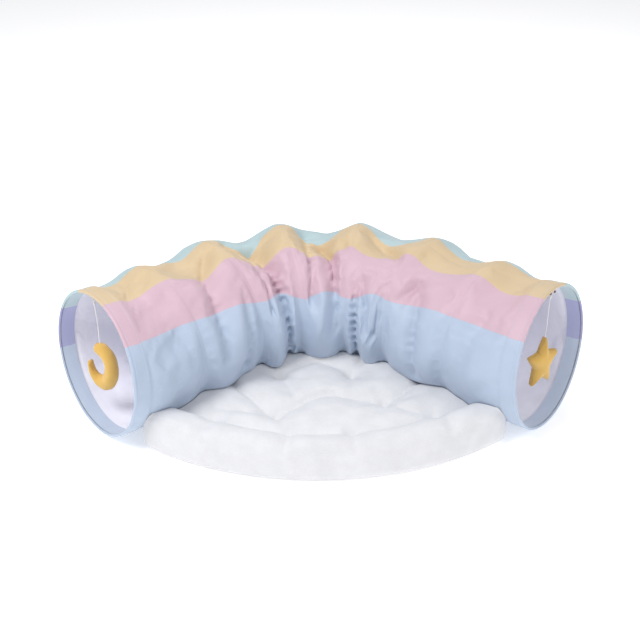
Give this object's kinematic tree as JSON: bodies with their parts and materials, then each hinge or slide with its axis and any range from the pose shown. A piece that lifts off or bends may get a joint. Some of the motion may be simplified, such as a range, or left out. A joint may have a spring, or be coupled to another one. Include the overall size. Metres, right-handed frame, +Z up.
{
  "type": "pet play tunnel",
  "caption": "Curved fabric play tunnel for a cat or small dog, held open by sprung hoops, with a padded quilted mat in its bend and a soft toy hanging in each mouth.",
  "frame": {"origin": "on the floor, on the mat's underside, midway between the two mouths", "axes": "+Z up, +Y towards the back of the bend, +X from the mouth with the moon to the mouth with the star"},
  "size_m": [0.9054, 0.5258, 0.2513],
  "materials": {
    "striped_cover": "smooth printed polyester, pastel stripes along the tunnel",
    "hem": "the same striped print, turned over the rim",
    "facing": "striped print facing inside the mouth",
    "channel": "striped print, sewn as a channel over the hoop",
    "lining": "plain white polyester lining",
    "mat_plush": "soft white short-pile fabric, quilted",
    "mat_base": "pale grey non-slip cloth",
    "filling": "polyester fibre filling",
    "tuft_thread": "white quilting thread",
    "fastening_tape": "white hook-and-loop tape",
    "toy_tab": "white woven tape",
    "toy_cord": "thin white elastic cord",
    "toy_plush": "golden yellow plush",
    "spring_steel": "sprung steel wire"
  },
  "bodies": {
    "hoop_3": {"hoop_wire_3": "spring_steel", "hoop_channel_3": "channel", "cover_4": "striped_cover", "lining_4": "lining", "loop_patch_3": "fastening_tape"},
    "hoop_2": {"hoop_wire_2": "spring_steel", "hoop_channel_2": "channel", "cover_3": "striped_cover", "lining_3": "lining", "loop_patch_2": "fastening_tape"},
    "hoop_1": {"hoop_wire_1": "spring_steel", "hoop_channel_1": "channel", "cover_2": "striped_cover", "lining_2": "lining"},
    "mouth_left": {"mouth_wire_left": "spring_steel", "hem_left": "hem", "facing_left": "facing", "cover_1": "striped_cover", "lining_1": "lining"},
    "hoop_4": {"hoop_wire_4": "spring_steel", "hoop_channel_4": "channel", "loop_patch_4": "fastening_tape"},
    "hoop_5": {"hoop_wire_5": "spring_steel", "hoop_channel_5": "channel", "cover_5": "striped_cover", "lining_5": "lining", "loop_patch_5": "fastening_tape"},
    "hoop_6": {"hoop_wire_6": "spring_steel", "hoop_channel_6": "channel", "cover_6": "striped_cover", "lining_6": "lining"},
    "mouth_right": {"mouth_wire_right": "spring_steel", "hem_right": "hem", "facing_right": "facing", "cover_7": "striped_cover", "lining_7": "lining"},
    "mat": {"mat_cover": "mat_plush", "mat_base": "mat_base", "pad_filling": "filling", "bolster_filling": "filling", "mat_tufts": "tuft_thread", "mat_tabs": "fastening_tape"},
    "moon_tab": {"moon_tab": "toy_tab"},
    "moon_cord": {"moon_cord": "toy_cord"},
    "moon": {"moon_plush": "toy_plush"},
    "star_tab": {"star_tab": "toy_tab"},
    "star_cord": {"star_cord": "toy_cord"},
    "star": {"star_plush": "toy_plush"}
  },
  "joints": [
    {"name": "bay_3_gather", "type": "hinge", "parent": "hoop_3", "child": "hoop_2", "pos_m": [-0.00122, -0.04159, 0], "axis": [0, 0, -1], "range_deg": [0, 20.8], "deforming": ["cover_3", "lining_3"]},
    {"name": "bay_2_gather", "type": "hinge", "parent": "hoop_2", "child": "hoop_1", "pos_m": [1.01218, -1.27094, 0], "axis": [0, 0, -1], "range_deg": [0, 3.25], "deforming": ["cover_2", "lining_2"]},
    {"name": "bay_1_gather", "type": "slide", "parent": "hoop_1", "child": "mouth_left", "axis": [0.7254, 0.6884, 0], "range_m": [0, 0.0793], "deforming": ["cover_1", "lining_1"]},
    {"name": "bay_4_gather", "type": "hinge", "parent": "hoop_3", "child": "hoop_4", "pos_m": [0, -0.0469, 0], "axis": [0, 0, 1], "range_deg": [0, 20.8], "deforming": ["cover_4", "lining_4"]},
    {"name": "bay_5_gather", "type": "hinge", "parent": "hoop_4", "child": "hoop_5", "pos_m": [0.00122, -0.04159, 0], "axis": [0, 0, 1], "range_deg": [0, 20.8], "deforming": ["cover_5", "lining_5"]},
    {"name": "bay_6_gather", "type": "hinge", "parent": "hoop_5", "child": "hoop_6", "pos_m": [-1.01218, -1.27094, 0], "axis": [0, 0, 1], "range_deg": [0, 3.25], "deforming": ["cover_6", "lining_6"]},
    {"name": "bay_7_gather", "type": "slide", "parent": "hoop_6", "child": "mouth_right", "axis": [-0.7254, 0.6884, 0], "range_m": [0, 0.0793], "deforming": ["cover_7", "lining_7"]},
    {"name": "mat_slide", "type": "slide", "parent": "hoop_3", "child": "mat", "axis": [0, -1, 0], "range_m": [0, 0.32]},
    {"name": "moon_sway", "type": "hinge", "parent": "mouth_left", "child": "moon_tab", "pos_m": [-0.36876, 0.03162, 0.2442], "axis": [0.7729, 0.6259, -0.1045], "range_deg": [-15, 15]},
    {"name": "moon_swing", "type": "hinge", "parent": "moon_tab", "child": "moon_cord", "pos_m": [-0.36854, 0.03008, 0.23666], "axis": [-0.6293, 0.7771, 0], "range_deg": [-55, 55]},
    {"name": "moon_twist", "type": "hinge", "parent": "moon_cord", "child": "moon", "pos_m": [-0.36854, 0.03008, 0.23666], "axis": [0, 0, 1], "range_deg": [-60, 60]},
    {"name": "star_sway", "type": "hinge", "parent": "mouth_right", "child": "star_tab", "pos_m": [0.36876, 0.03162, 0.2442], "axis": [-0.7729, 0.6259, -0.1045], "range_deg": [-15, 15]},
    {"name": "star_swing", "type": "hinge", "parent": "star_tab", "child": "star_cord", "pos_m": [0.36854, 0.03008, 0.23666], "axis": [0.6293, 0.7771, 0], "range_deg": [-55, 55]},
    {"name": "star_twist", "type": "hinge", "parent": "star_cord", "child": "star", "pos_m": [0.36854, 0.03008, 0.23666], "axis": [0, 0, 1], "range_deg": [-60, 60]}
  ],
  "couplings": [
    {"joint": "bay_2_gather", "follows": "bay_3_gather", "ratio": 0.15385},
    {"joint": "bay_1_gather", "follows": "bay_3_gather", "m_per_rad": 0.21761},
    {"joint": "bay_6_gather", "follows": "bay_5_gather", "ratio": 0.15385},
    {"joint": "bay_7_gather", "follows": "bay_5_gather", "m_per_rad": 0.21761}
  ]
}
